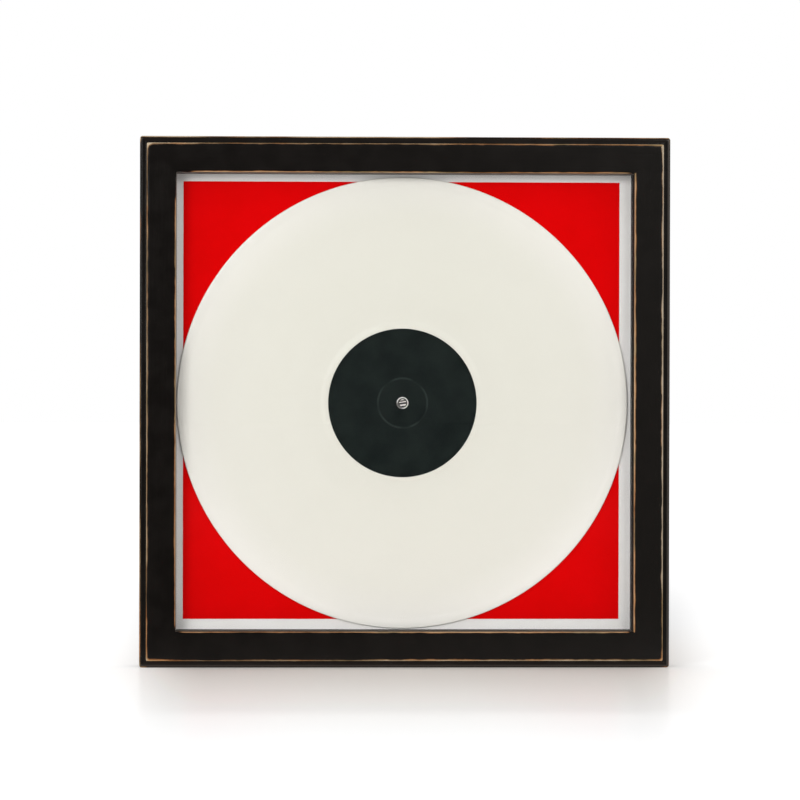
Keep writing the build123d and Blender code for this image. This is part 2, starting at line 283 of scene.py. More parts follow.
# Colours of the bare wood, from just rubbed to fully worn
PALE_WOOD = [
    (0.24, rgba(15, 12, 11)),
    (0.38, rgba(54, 36, 22)),
    (0.54, rgba(118, 86, 54)),
    (0.72, rgba(162, 135, 100)),
    (1.00, rgba(206, 188, 162)),
]
ORANGE_WOOD = [
    (0.24, rgba(16, 12, 10)),
    (0.38, rgba(62, 38, 21)),
    (0.55, rgba(142, 90, 47)),
    (0.78, rgba(184, 132, 84)),
    (1.00, rgba(208, 170, 126)),
]
OLIVE_WOOD = [
    (0.24, rgba(15, 13, 11)),
    (0.40, rgba(48, 38, 24)),
    (0.58, rgba(108, 88, 56)),
    (0.80, rgba(148, 126, 90)),
    (1.00, rgba(180, 158, 122)),
]

# Places along a side, from its middle: start, end and soft end of stretches where the line
# on the face is faint, and of stretches where the bare wood is orange
FAINT_LEFT = (-140 * MM, -112 * MM, 9 * MM)
FAINT_BOTTOM = (-150 * MM, -104 * MM, 14 * MM)
FAINT_TOP = (-130 * MM, -4 * MM, 22 * MM)
ORANGE_LEFT = (-166 * MM, -140 * MM, 8 * MM)
ORANGE_RIGHT = (-150 * MM, -125 * MM, 15 * MM)
ORANGE_BOTTOM = (-170 * MM, -152 * MM, 10 * MM)

# Where a change begins and where it is full: the lower part of the right side, the orange of
# the bottom's right end and of the top, and the ends of the line along the sight edge
LOW_RIGHT = (-118 * MM, -134 * MM)
ORANGE_BOTTOM_END = (156 * MM, 164 * MM)
ORANGE_TOP = (0.0, 40 * MM)
SIGHT_TOP_END = (-138 * MM, -146 * MM)
SIGHT_LEFT_END = (132 * MM, 140 * MM)

# Scales of the paint's clouds, and of the fine lines that run along the grain
LONG_CLOUDS = 13.0
TONE_CLOUDS = 31.0
MID_CLOUDS = 85.0
STREAK_SCALE = (130.0, 1900.0, 1.0)
FIBRE_SCALE = (45.0, 2600.0, 1.0)
BRUSH_SCALE = (25.0, 900.0, 1.0)

# Widths of the rubbed strips, least and most, and roundings of the squares that they follow
FACE_STRIP = (1.15 * MM, 2.1 * MM)
FACE_STRIP_AT_CORNER = 0.7 * MM
FACE_STRIP_ROUND = 2.8 * MM
UPPER_LEFT_ROUND = 1.9 * MM
SIGHT_STRIP = (0.85 * MM, 1.5 * MM)
SIGHT_STRIP_RIGHT = 0.35 * MM
SIGHT_STRIP_ROUND = 0.4 * MM


class PaintedWood(Finish):
    """Satin black paint, rubbed through to the wood along the arrises."""

    def __init__(self):
        super().__init__("worn_black_paint")
        place = self.place()
        self.x, y, z = self.parts(place)
        self.rise = self.minus(z, CENTRE_Z)
        self.across = self.math("ABSOLUTE", self.x)
        self.up = self.math("ABSOLUTE", self.rise)
        self.depth = self.minus(y, FRONT_Y)
        self.inward = self.minus(HALF, self.most(self.across, self.up))
        self.to_corner = self.least(self.across, self.up)
        self.grain = self.grain_map()
        self.long_noise = self.noise(place, LONG_CLOUDS, 2.0)
        self.tone_noise = self.noise(place, TONE_CLOUDS, 2.0)
        self.mid_noise = self.noise(place, MID_CLOUDS, 3.0)
        self.streaks = self.noise(self.scaled(self.grain, STREAK_SCALE), 1.0, 3.0)
        self.fibres = self.noise(self.scaled(self.grain, FIBRE_SCALE), 1.0, 4.0, 0.6)
        self.find_sides()
        self.paint()

    def find_sides(self):
        """Which of the four sides a point is on, as masks of 0 or 1."""
        upright = self.math("GREATER_THAN", self.across, self.up)
        level_side = self.one_minus(upright)
        self.right = self.times(upright, self.math("GREATER_THAN", self.x, 0.0))
        self.left = self.minus(upright, self.right)
        self.top = self.times(level_side, self.math("GREATER_THAN", self.rise, 0.0))
        self.bottom = self.minus(level_side, self.top)
        self.low_right = self.times(self.right, self.span(self.rise, *LOW_RIGHT))

    def by_side(self, **values):
        """The value of the side that a point is on, and zero on a side without one."""
        return self.plus(*[self.times(getattr(self, side), value) for side, value in values.items()])

    def face_wear(self):
        """A strip along the arris of the raised face, wider at the corners of the square."""
        corner_near = self.span(self.to_corner, HALF - 16 * MM, HALF - 7 * MM)
        width = self.span(self.mid_noise, *CLOUD, *FACE_STRIP)
        width = self.plus(width, self.times(corner_near, FACE_STRIP_AT_CORNER))
        upper_left = self.times(self.span(self.x, 0.01, -0.01), self.span(self.rise, -0.01, 0.01))
        rounding = self.plus(FACE_STRIP_ROUND, self.times(upper_left, UPPER_LEFT_ROUND))
        outside = self.square_distance(self.across, self.up, HALF - LEDGE_WIDTH, rounding)
        level = self.plus(self.math("DIVIDE", outside, width), 1.0)
        faint = self.plus(
            self.by_side(left=0.15, right=-0.08, top=0.1, bottom=0.05),
            self.times(self.stretch(self.rise, *FAINT_LEFT), self.left, 0.26),
            self.times(self.stretch(self.x, *FAINT_BOTTOM), self.bottom, 0.08),
            self.times(self.stretch(self.x, *FAINT_TOP), self.top, 0.2),
            self.times(self.low_right, 0.16),
        )
        on_riser = self.span(self.depth, 0.7 * MM, 1.25 * MM, 1.0, 0.0)
        return self.times(self.minus(self.least(level, 1.0), faint), on_riser)

    def sight_wear(self, outside):
        """A strip along the sight edge, most on the right where it runs onto the inner wall."""
        width = self.span(self.mid_noise, 0.3, 0.75, *SIGHT_STRIP)
        width = self.plus(width, self.times(self.right, SIGHT_STRIP_RIGHT))
        level = self.one_minus(self.math("DIVIDE", outside, width))
        from_corner = self.minus(SIGHT_HALF, self.to_corner)
        clear_of_corner = self.span(from_corner, 0.3 * MM, 6 * MM)
        clear_of_corner = self.most(clear_of_corner, self.times(self.right, 0.9))
        share = self.times(
            self.by_side(left=1.0, right=1.05, top=1.1, bottom=1.05),
            self.one_minus(self.times(self.top, self.span(self.x, *SIGHT_TOP_END))),
            self.one_minus(self.times(self.left, self.span(self.rise, *SIGHT_LEFT_END))),
            clear_of_corner,
            self.span(self.long_noise, 0.3, 0.5, 0.86, 1.0),
            self.span(self.depth, 0.9 * MM, 2.6 * MM, 1.0, 0.0),
        )
        return self.times(self.least(level, 1.0), share)

    def outer_wear(self):
        """The outermost edges, rubbed at the frame's corners and in thin patches between."""
        at_corner = self.span(self.to_corner, HALF - 9 * MM, HALF - 1 * MM)
        in_patches = self.span(self.long_noise, 0.42, 0.62, 0.3, 0.62)
        in_patches = self.times(in_patches, self.by_side(left=1.25, right=0.5, top=1.9, bottom=0.25))
        front = self.times(
            self.span(self.inward, 0.15 * MM, 1.2 * MM, 1.0, 0.0),
            self.span(self.depth, 1.9 * MM, 3.6 * MM, 1.0, 0.0),
            self.most(at_corner, in_patches),
        )
        back = self.times(
            self.span(self.inward, 0.0, 0.9 * MM, 1.0, 0.0),
            self.span(self.depth, RAIL_DEPTH - 1.2 * MM, RAIL_DEPTH - 0.2 * MM),
            in_patches,
        )
        return self.most(front, back)

    def black(self):
        """The paint, a little lighter toward the right as painted shading, and lighter in its clouds,
        and on two ledges.
        """
        on_ledge = self.times(
            self.span(self.inward, 4.2 * MM, 3.4 * MM), self.span(self.depth, 4.0 * MM, 2.0 * MM)
        )
        # Painted shading: the paint grows lighter from left to right, less so on the ledges
        lighter = self.times(
            self.span(self.x, -HALF, HALF - RAIL_WIDTH / 2, smooth=False),
            self.span(on_ledge, 0.0, 1.0, 1.0, 0.35),
        )
        black = self.mix(lighter, PAINT_SHADED_LEFT, PAINT_LIT_RIGHT)
        black = self.mix(self.span(self.mid_noise, *CLOUD, 0.0, 0.3), black, PAINT_CLOUD)
        return self.mix(self.times(on_ledge, self.by_side(top=0.22, bottom=0.25)), black, PAINT_LEDGE)

    def wood(self, level, face, sight):
        """The bare wood, orange in some stretches, olive in others, and cream at the right from a
        painted highlight.
        """
        orange = self.most(
            self.times(self.left, self.stretch(self.rise, *ORANGE_LEFT)),
            self.times(self.right, self.stretch(self.rise, *ORANGE_RIGHT), 0.5),
            self.times(self.bottom, self.stretch(self.x, *ORANGE_BOTTOM)),
            self.times(self.bottom, self.span(self.x, *ORANGE_BOTTOM_END), 0.85),
            self.times(self.low_right, 0.85),
            self.times(self.top, self.span(self.x, *ORANGE_TOP, 0.0, 0.7)),
            self.span(self.tone_noise, 0.56, 0.66, 0.0, 0.6),
            self.span(sight, 0.1, 0.3, 0.0, 0.75),
        )
        olive = self.times(self.span(self.tone_noise, 0.46, 0.36), 0.85)
        # Painted highlight: the worn wood of the right side, above its lower part, drawn paler
        cream = self.times(self.minus(self.right, self.low_right), self.span(face, 0.3, 0.7, 0.0, 0.6))
        wood = self.mix(orange, self.ramp(level, PALE_WOOD), self.ramp(level, ORANGE_WOOD))
        wood = self.mix(olive, wood, self.ramp(level, OLIVE_WOOD))
        wood = self.mix(cream, wood, CREAM_WOOD_HIGHLIGHT)
        return self.mix(self.span(self.fibres, 0.4, 0.72, 0.0, 0.4), wood, DARK_FIBRE)

    def paint(self):
        """Lay the paint over the wood, thinner on walls and back, with a painted highlight on the right
        and bottom rims, and set the shader.
        """
        outside_sight = self.square_distance(self.across, self.up, SIGHT_HALF, SIGHT_STRIP_ROUND)
        face = self.face_wear()
        sight = self.sight_wear(outside_sight)
        level = self.most(face, sight, self.outer_wear())
        ragged = self.times(self.minus(self.streaks, 0.5), 0.6)
        faded = self.span(self.long_noise, 0.3, 0.62, -0.14, 0.12)
        uneven = self.times(self.plus(ragged, faded), self.span(level, 0.02, 0.2))
        level = self.math("ADD", level, uneven, clamp=True)
        worn = self.span(level, 0.22, 0.4)

        inner_wall = self.times(
            self.span(outside_sight, 0.35 * MM, 0.1 * MM), self.span(self.depth, 1.4 * MM, 2.6 * MM)
        )
        olive_wall = self.times(
            inner_wall,
            self.span(self.depth, 9.5 * MM, 6.0 * MM),
            self.span(self.long_noise, 0.3, 0.55, 0.55, 1.0),
            0.85,
        )
        # Painted highlight: the outer rounding of the right side and of the bottom drawn lighter, as if
        # lit
        right_rim_highlight = self.times(self.right, self.span(self.inward, 2.1 * MM, 1.4 * MM))
        low_rim_highlight = self.times(self.bottom, self.stretch(self.inward, 0.9 * MM, 1.6 * MM, 0.4 * MM), 0.7)
        rim = self.times(self.most(right_rim_highlight, low_rim_highlight), self.span(self.depth, 6.0 * MM, 3.0 * MM), 0.52)
        on_back = self.span(self.depth, RAIL_DEPTH - 0.6 * MM, RAIL_DEPTH - 0.3 * MM)
        grain_lines = self.span(self.fibres, 0.42, 0.68)
        thin_paint = self.times(on_back, self.plus(0.12, self.times(grain_lines, 0.6)))
        colour = self.mix(worn, self.black(), self.wood(level, face, sight))
        colour = self.mix(olive_wall, colour, OLIVE_WALL)
        colour = self.mix(rim, colour, RIM_HIGHLIGHT)
        self.set(Base_Color=self.mix(thin_paint, colour, THIN_PAINT))

        on_side = self.times(
            self.span(self.inward, 0.4 * MM, 0.1 * MM), self.span(self.depth, 2.5 * MM, 4.0 * MM)
        )
        rough = self.plus(
            self.span(self.mid_noise, 0.25, 0.75, 0.19, 0.23),
            self.times(self.most(on_back, on_side), 0.3),
            self.times(worn, 0.35),
        )
        self.set(Roughness=self.most(rough, self.times(inner_wall, 0.85)))
        self.set(Specular_IOR_Level=0.14)
        brush = self.noise(self.scaled(self.grain, BRUSH_SCALE), 1.0, 3.0)
        relief = self.minus(self.plus(brush, self.times(self.mid_noise, 0.6)), self.times(worn, 0.8))
        self.set(Normal=self.bump(relief, 0.06 * MM, 0.8))


# Finishes of the other pieces

# Radii at which the fine grooves of the record begin and end
GROOVES_START = (69.4 * MM, 70.2 * MM)
GROOVES_END = (146.2 * MM, 146.8 * MM)


def cream_vinyl():
    """Pressed cream vinyl with fine grooves, with painted light that lightens it a little toward its rim
    and its lower side.
    """
    finish = Finish("cream_vinyl")
    radius, _, dz, _ = finish.from_record_axis()
    grooved = finish.times(
        finish.span(radius, *GROOVES_START), finish.span(radius, *GROOVES_END, 1.0, 0.0)
    )
    rings = finish.noise(finish.node("ShaderNodeCombineXYZ", {0: radius}).outputs[0], 900.0, 3.0, 0.6)
    swirl = finish.noise(finish.place(), 22.0, 3.0, 0.55, 0.6)
    # Painted light: lighter toward the rim and the lower side, to lift the shade there
    painted_lift = finish.plus(
        finish.span(radius, 85 * MM, 125 * MM, 0.12, 0.29, smooth=False),
        finish.span(radius, 125 * MM, 149 * MM, 0.0, 0.6, smooth=False),
        finish.span(dz, -150 * MM, 150 * MM, 0.22, -0.22, smooth=False),
    )
    base = finish.mix(painted_lift, rgba(229, 227, 215), rgba(246, 243, 236))
    base = finish.mix(finish.span(swirl, *CLOUD, 0.0, 0.1), base, rgba(240, 238, 228))
    finish.set(Base_Color=base)
    finish.set(Roughness=finish.plus(0.3, finish.times(grooved, 0.14)))
    finish.set(Specular_IOR_Level=0.45)
    finish.set(Normal=finish.bump(finish.times(rings, grooved), 0.05 * MM, 0.5))
    return finish.material


def label_paper():
    """Dark green-black label paper, a little lighter in patches along the pressed ring, partly worn by
    rubbing and partly a painted highlight.
    """
    finish = Finish("dark_label_paper")
    place = finish.place()
    radius = finish.from_record_axis()[0]
    off_ring = finish.math("ABSOLUTE", finish.minus(radius, PRESS_RING_RADIUS))
    # Wear from rubbing together with a painted highlight, in patches along the pressed ring
    rub_and_highlight = finish.span(off_ring, 0.3 * MM, 1.0 * MM, 1.0, 0.0)
    patchy = finish.span(finish.noise(place, 70.0, 1.0), 0.38, 0.62, 0.12, 0.75)
    fibres = finish.noise(place, 1500.0, 3.0, 0.6)
    cloud = finish.noise(place, 60.0, 3.0)
    base = finish.mix(finish.span(cloud, *CLOUD), rgba(16, 23, 22), rgba(25, 32, 30))
    base = finish.mix(finish.span(fibres, 0.45, 0.75, 0.0, 0.25), base, rgba(36, 44, 42))
    finish.set(Base_Color=finish.mix(finish.times(rub_and_highlight, patchy), base, rgba(48, 56, 54)))
    finish.set(Roughness=finish.span(cloud, *CLOUD, 0.4, 0.5))
    finish.set(Specular_IOR_Level=0.04)
    finish.set(Normal=finish.bump(fibres, 0.02 * MM, 0.6))
    return finish.material


def paper(name, first, second, roughness, gloss=0.3):
    """Card or paper: two close tones in soft clouds, with a fine fibre relief."""
    finish = Finish(name)
    place = finish.place()
    cloud = finish.noise(place, 28.0, 4.0, 0.55)
    fibres = finish.noise(place, 900.0, 4.0, 0.6)
    finish.set(Base_Color=finish.mix(finish.span(cloud, *CLOUD), first, second))
    finish.set(Roughness=finish.span(fibres, *CLOUD, roughness - 0.05, roughness + 0.05))
    finish.set(Specular_IOR_Level=gloss)
    finish.set(Normal=finish.bump(fibres, 0.03 * MM, 0.6))
    return finish.material


def fibre_board(name, first, second, screen=0.0):
    """Pressed wood fibre. A screen gives the woven press mark of a hardboard's back."""
    finish = Finish(name)
    place = finish.place()
    cloud = finish.noise(place, 35.0, 4.0, 0.6)
    flecks = finish.noise(finish.scaled(place, (420.0, 420.0, 1400.0)), 1.0, 4.0, 0.65, 0.8)
    base = finish.mix(finish.span(cloud, *CLOUD), first, second)
    base = finish.mix(finish.span(flecks, 0.46, 0.66, 0.0, 0.6), base, rgba(58, 38, 24))
    base = finish.mix(finish.span(flecks, 0.44, 0.26, 0.0, 0.5), base, rgba(164, 122, 82))
    finish.set(Base_Color=base)
    finish.set(Roughness=finish.span(flecks, *CLOUD, 0.58, 0.74))
    height = flecks
    if screen:
        x, _, z = finish.parts(finish.scaled(place, (screen, screen, screen)))
        weave = finish.times(finish.math("SINE", x), finish.math("SINE", z))
        height = finish.plus(flecks, finish.times(weave, 0.7))
    finish.set(Normal=finish.bump(height, 0.12 * MM, 0.7))
    return finish.material


def metal(name, colour, roughness, scratch=0.1):
    """Plated steel with soft blotches and fine scratches."""
    finish = Finish(name)
    place = finish.place()
    blotch = finish.noise(place, 260.0, 3.0, 0.6)
    fine = finish.noise(finish.scaled(place, (2600.0, 700.0, 700.0)), 1.0, 3.0, 0.6)
    darker = tuple(value * 0.72 for value in colour[:3]) + (1.0,)
    finish.set(Base_Color=finish.mix(finish.span(blotch, 0.3, 0.72), colour, darker))
    finish.set(Metallic=1.0)
    finish.set(Roughness=finish.plus(roughness, finish.times(fine, scratch)))
    finish.set(Normal=finish.bump(fine, 0.01 * MM, 0.5))
    return finish.material


# Centre screw: width and tilt of its painted bright and dark reflection bands, and their colours; the
# dark colour is also painted shade
SCREW_REFLECTION_BAND = 1.9 * MM
SCREW_REFLECTION_TILT = 0.14
PLATE_AND_HIGHLIGHT = (0.8, 0.76, 0.72, 1.0)
SHADE_AND_DARK_REFLECTION = (0.02, 0.016, 0.013, 1.0)


def centre_screw_plate():
    """Bright plated screw head with painted shade in its slot and round its rim, and painted reflections
    in ragged bands.
    """
    finish = Finish("centre_screw_plate")
    radius, dx, dz, y = finish.from_record_axis()
    head_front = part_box("centre_screw")[0].y
    turned_up = finish.minus(dz, finish.times(dx, SCREW_REFLECTION_TILT))
    reflection_bands = finish.math("SINE", finish.times(turned_up, 2 * math.pi / SCREW_REFLECTION_BAND))
    ragged = finish.minus(finish.noise(finish.place(), 900.0, 2.0), 0.5)
    reflection_bands = finish.plus(reflection_bands, finish.times(ragged, 1.6))
    # Painted shade in the slot and round the rim, and painted dark reflection bands
    painted_shade_and_bands = finish.most(
        finish.span(y, head_front + 0.5 * MM, head_front + 0.9 * MM),
        finish.span(radius, 2.2 * MM, 2.6 * MM),
        finish.one_minus(finish.span(reflection_bands, -0.35, 0.25)),
    )
    finish.set(Base_Color=finish.mix(painted_shade_and_bands, PLATE_AND_HIGHLIGHT, SHADE_AND_DARK_REFLECTION))
    finish.set(Metallic=finish.times(finish.one_minus(painted_shade_and_bands), 0.35))
    finish.set(Roughness=finish.span(painted_shade_and_bands, 0.0, 1.0, 0.42, 0.7))
    finish.set(Normal=finish.bump(reflection_bands, 0.05 * MM, 0.5))
    return finish.material


def centre_bush_plastic():
    """White bush with painted shade where it meets the screw, at its lower left and round its rim."""
    finish = Finish("centre_bush_plastic")
    radius, dx, dz, _ = finish.from_record_axis()
    cloud = finish.noise(finish.place(), 420.0, 3.0)
    ragged_radius = finish.plus(radius, finish.times(cloud, 0.6 * MM))
    low = finish.plus(dx, dz, finish.times(cloud, 3.0 * MM))
    # Painted shade where the bush meets the screw, at its lower left and round its rim
    painted_shade = finish.most(
        finish.span(ragged_radius, 3.75 * MM, 3.35 * MM),
        finish.span(low, -0.4 * MM, -2.8 * MM, 0.0, 0.85),
        finish.span(radius, 3.8 * MM, 4.0 * MM, 0.0, 0.9),
    )
    finish.set(Base_Color=finish.mix(painted_shade, rgba(232, 231, 226), rgba(48, 44, 40)))
    finish.set(Roughness=finish.span(cloud, *CLOUD, 0.34, 0.46))
    finish.set(Normal=finish.bump(cloud, 0.03 * MM, 0.4))
    return finish.material


def black_rubber():
    """Moulded rubber with a faint skin texture."""
    finish = Finish("black_rubber")
    place = finish.place()
    skin = finish.noise(place, 1400.0, 3.0, 0.6)
    cloud = finish.noise(place, 150.0, 2.0)
    colour = rgba(26, 26, 27)
    lighter = tuple(value * 1.25 + 0.004 for value in colour[:3]) + (1.0,)
    finish.set(Base_Color=finish.mix(finish.span(cloud, *CLOUD), colour, lighter))
    finish.set(Roughness=finish.span(skin, *CLOUD, 0.64, 0.76))
    finish.set(Normal=finish.bump(skin, 0.04 * MM, 0.5))
    return finish.material


def spacer_strip(name, painted_face_light):
    """Black strip whose narrow front face is painted lighter, as painted light from the card beside it.
    """
    finish = Finish(name)
    place = finish.place()
    _, y, _ = finish.parts(place)
    skin = finish.noise(place, 1400.0, 3.0, 0.6)
    strip_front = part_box("top_spacer")[0].y
    # Painted light on the strip's front face
    on_front = finish.span(y, strip_front + 0.1 * MM, strip_front + 0.4 * MM, 1.0, 0.0)
    finish.set(Base_Color=finish.mix(on_front, rgba(20, 19, 19), painted_face_light))
    finish.set(Roughness=finish.span(skin, *CLOUD, 0.56, 0.68))
    finish.set(Normal=finish.bump(skin, 0.02 * MM, 0.5))
    return finish.material


PANE_TINT = (0.985, 0.99, 0.985, 1.0)
PANE_IOR = 1.49


def clear_pane():
    """Clear glazing that lets the lamps' light through and shows soft reflections."""
    finish = Finish("clear_pane")
    finish.set(Base_Color=PANE_TINT)
    finish.set(Roughness=0.0)
    finish.set(IOR=PANE_IOR)
    finish.set(Transmission_Weight=1.0)
    path = finish.node("ShaderNodeLightPath").outputs
    lets_through = finish.most(path["Is Shadow Ray"], path["Is Diffuse Ray"])
    open_air = finish.node("ShaderNodeBsdfTransparent").outputs[0]
    inputs = {0: lets_through, 1: finish.shader.outputs[0], 2: open_air}
    mixed = finish.node("ShaderNodeMixShader", inputs).outputs[0]
    finish.feed(finish.output.inputs["Surface"], mixed)
    return finish.material


# Moulding: a section of right angled corners, swept round the four mitred sides

# How the roundings swell and shrink on the way round the frame: cycles, seed and share
OUTER_WANDER = (31.0, 3.1, 0.12)
ARRIS_WANDER = (64.0, 7.7, 0.3)
SIGHT_WANDER = (47.0, 12.4, 0.25)
WANDER_GAIN = 1.6

# Spacing of the sections along a side: close at its ends, and growing toward its middle
STATION_STEP = 0.4 * MM
STATION_STEP_MOST = 4.0 * MM
STATION_GROWTH = 1.16
STATION_EVEN_END = 4.0 * MM


def wandering(rounding, turn_share, wander):
    """A rounding at a place round the frame. Its soft noise closes on itself once round."""
    cycles, seed, share = wander
    radius = cycles / (2 * math.pi)
    angle = 2 * math.pi * turn_share
    point = Vector((radius * math.cos(angle), radius * math.sin(angle), seed))
    return rounding * (1 + share * max(-1.0, min(1.0, WANDER_GAIN * noise.noise(point))))


def section(turn_share):
    """Points of the moulding's section at a place round the frame, as inward and depth."""
    outer = wandering(OUTER_ROUND, turn_share, OUTER_WANDER)
    arris = wandering(ARRIS_ROUND, turn_share, ARRIS_WANDER)
    sight = wandering(SIGHT_ROUND, turn_share, SIGHT_WANDER)
    # Each corner's place and rounding, the steps of its arc and the steps of the run after it
    corners = [
        ((0, LEDGE_STEP), outer, 7, 3),
        ((LEDGE_WIDTH, LEDGE_STEP), QUIRK_ROUND, 4, 1),
        ((LEDGE_WIDTH, 0), arris, 7, 10),
        ((RAIL_WIDTH, 0), sight, 7, 5),
        ((RAIL_WIDTH, LIP_DEPTH), LIP_BACK_ROUND, 2, 2),
        ((BACK_WOOD, LIP_DEPTH), 0, 0, 5),
        ((BACK_WOOD, RAIL_DEPTH), LIP_BACK_ROUND, 2, 6),
        ((0, RAIL_DEPTH), BACK_ROUND, 5, 8),
    ]
    places = [Vector(corner[0]) for corner in corners]
    points = []
    for index, (_, radius, arc_steps, run_steps) in enumerate(corners):
        following = (index + 1) % len(corners)
        here = places[index]
        after = places[following]
        back = (places[index - 1] - here).normalized()
        ahead = (after - here).normalized()
        middle = here + radius * (back + ahead)
        for step in range(arc_steps + 1):
            angle = math.pi / 2 * step / max(arc_steps, 1)
            points.append(middle - radius * (ahead * math.cos(angle) + back * math.sin(angle)))
        start = here + ahead * radius
        end = after - ahead * corners[following][1]
        for step in range(1, run_steps):
            points.append(start.lerp(end, step / run_steps))
    return points


def corner_radius(inward, depth):
    """Radius that a corner of the frame is rubbed to, seen from the front, at a section point."""
    on_face = depth < FACE_DEPTH and inward > LEDGE_WIDTH - QUIRK_ROUND / 2
    if on_face:
        fade = (inward - LEDGE_WIDTH - ARRIS_ROUND) / CORNER_FADE
        return FACE_CORNER_ROUND * max(0.0, min(1.0, 1 - fade))
    if inward >= BACK_WOOD:
        return 0.0
    reach = LEDGE_WIDTH if depth < RAIL_DEPTH / 2 else CORNER_FADE
    return CORNER_ROUND * max(0.0, 1 - inward / reach)


def station_shares():
    """Places of the sections along a side, from -1 at its start to 1 at its end."""
    step = STATION_STEP
    distance = 0.0
    places = [0.0]
    while distance < HALF:
        distance += step
        places.append(min(distance, HALF))
        if distance > STATION_EVEN_END:
            step = min(step * STATION_GROWTH, STATION_STEP_MOST)
    half = [1 - place / HALF for place in places]
    return [-share for share in half] + half[-2::-1]


def side_mesh(name, turn):
    """One mitred side. Its station points lie on the planes of the mitres at both ends."""
    along = Vector((math.cos(turn), 0, math.sin(turn)))
    outward = Vector((math.sin(turn), 0, -math.cos(turn)))
    centre = Vector((0, FRONT_Y, CENTRE_Z))
    built = bmesh.new()
    grain = built.loops.layers.uv.new("grain")
    rings = []
    maps = []
    for share in station_shares():
        turn_share = (turn / (math.pi / 2) + (share + 1) / 2) / 4
        ring = []
        ring_map = []
        walked = 0.0
        before = None
        for point in section(turn_share):
            inward, depth = point
            reach = HALF - inward
            place_along = share * reach
            radius = corner_radius(inward, depth)
            straight = reach - radius
            if radius and abs(place_along) > straight:
                angle = math.pi / 4 * (abs(place_along) - straight) / radius
                place_along = math.copysign(straight + radius * math.sin(angle), share)
                reach = straight + radius * math.cos(angle)
            place = centre + along * place_along + outward * reach + Vector((0, depth, 0))
            walked += (point - before).length if before else 0.0
            before = point
            ring.append(built.verts.new(place))
            ring_map.append((share * HALF + turn, walked))
        # The map runs on past the last point, so that it closes where the section starts
        ring_map.append((share * HALF + turn, walked + LEDGE_STEP))
        rings.append(ring)
        maps.append(ring_map)
    count = len(rings[0])
    for station in range(len(rings) - 1):
        for point in range(count):
            ahead = (point + 1) % count
            corners = [
                (station, point, point),
                (station, ahead, point + 1),
                (station + 1, ahead, point + 1),
                (station + 1, point, point),
            ]
            face = built.faces.new([rings[s][p] for s, p, _ in corners])
            for loop, (s, p, m) in zip(face.loops, corners):
                loop[grain].uv = maps[s][m]
    for ring in (rings[0], list(reversed(rings[-1]))):
        built.faces.new(ring)
    bmesh.ops.recalc_face_normals(built, faces=built.faces[:])
    return finish_mesh(name, built, SIDE_SHARP_ANGLE)


def finish_mesh(name, built, sharp_angle):
    """Turn built geometry into an object with smooth faces between its sharp edges."""
    mesh = bpy.data.meshes.new(name)
    built.to_mesh(mesh)
    built.free()
    mesh.shade_smooth()
    mesh.set_sharp_from_angle(angle=math.radians(sharp_angle))
    piece = bpy.data.objects.new(name, mesh)
    bpy.context.scene.collection.objects.link(piece)
    return piece


def stand_for(piece, body, node, material):
    """Put a piece in the place of a frame node."""
    piece.data.materials.append(material)
    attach(piece, body)
    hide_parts(node)


NAIL_MOUTH = 1.0 * MM
NAIL_OPENING = 2.0 * MM


def nail_slots():
    """Cutter for the slots of the V nails, open through the back of the mitres."""
    cutter = nodes["corner_v_nails"].copy()
    cutter.data = cutter.data.copy()
    cutter.name = "nail_cutter"
    cutter.parent = None
    deepest = max(vertex.co.y for vertex in cutter.data.vertices)
    for vertex in cutter.data.vertices:
        if vertex.co.y > deepest - NAIL_MOUTH:
            vertex.co.y += NAIL_OPENING
    bpy.context.scene.collection.objects.link(cutter)
    return cutter


def cut(piece, cutter):
    """Take the cutter's solid away from the piece."""
    modifier = piece.modifiers.new("cut", "BOOLEAN")
    modifier.object = cutter
    modifier.operation = "DIFFERENCE"
    modifier.solver = "EXACT"
    bpy.context.view_layer.objects.active = piece
    bpy.ops.object.modifier_apply(modifier=modifier.name)


def make_sides():
    material = PaintedWood().material
    cutter = nail_slots()
    turns = {"bottom_rail": 0, "right_stile": 1, "top_rail": 2, "left_stile": 3}
    for node, quarter in turns.items():
        piece = side_mesh(node + "_painted", quarter * math.pi / 2)
        cut(piece, cutter)
        stand_for(piece, "frame", node, material)
    bpy.data.objects.remove(cutter)


# Record and labels: sections turned about the record's axis

RECORD_STEPS = 288
LABEL_STEPS = 192
RIM_ARC_STEPS = 6
BEVEL_WIDTH = 0.05 * MM
BEVEL_DROP = 0.04 * MM

# Radii of the rings in the level web and in the level label, in millimetres
WEB_RINGS = range(56, 146, 6)
LABEL_RINGS = range(20, 49, 4)


def turned(name, outline, steps, sharp_angle=SHARP_ANGLE):
    """Solid of revolution about the record's axis, from a closed outline of radius and depth."""
    built = bmesh.new()
    rings = []
    for step in range(steps):
        angle = 2 * math.pi * step / steps
        across, up = math.cos(angle), math.sin(angle)
        rings.append(
            [built.verts.new((RECORD_X + r * across, y, RECORD_Z + r * up)) for r, y in outline]
        )
    count = len(outline)
    for step in range(steps):
        first, second = rings[step], rings[(step + 1) % steps]
        for point in range(count):
            ahead = (point + 1) % count
            built.faces.new((first[point], first[ahead], second[ahead], second[point]))
    bmesh.ops.recalc_face_normals(built, faces=built.faces[:])
    return finish_mesh(name, built, sharp_angle)


def blend_step(start, end, steps=5):
    """Points of a soft step between two levels, as radius and height."""
    points = []
    for step in range(steps + 1):
        share = step / steps
        eased = share * share * (3 - 2 * share)
        points.append((start[0] + (end[0] - start[0]) * share, start[1] + (end[1] - start[1]) * eased))
    return points


def ring_dip(middle, half_width, level, drop, steps=8):
    """Points of a soft round groove in a level face."""
    points = []
    for step in range(steps + 1):
        share = step / steps
        fall = (1 - math.cos(2 * math.pi * share)) / 2
        points.append((middle - half_width + 2 * half_width * share, level - drop * fall))
    return points


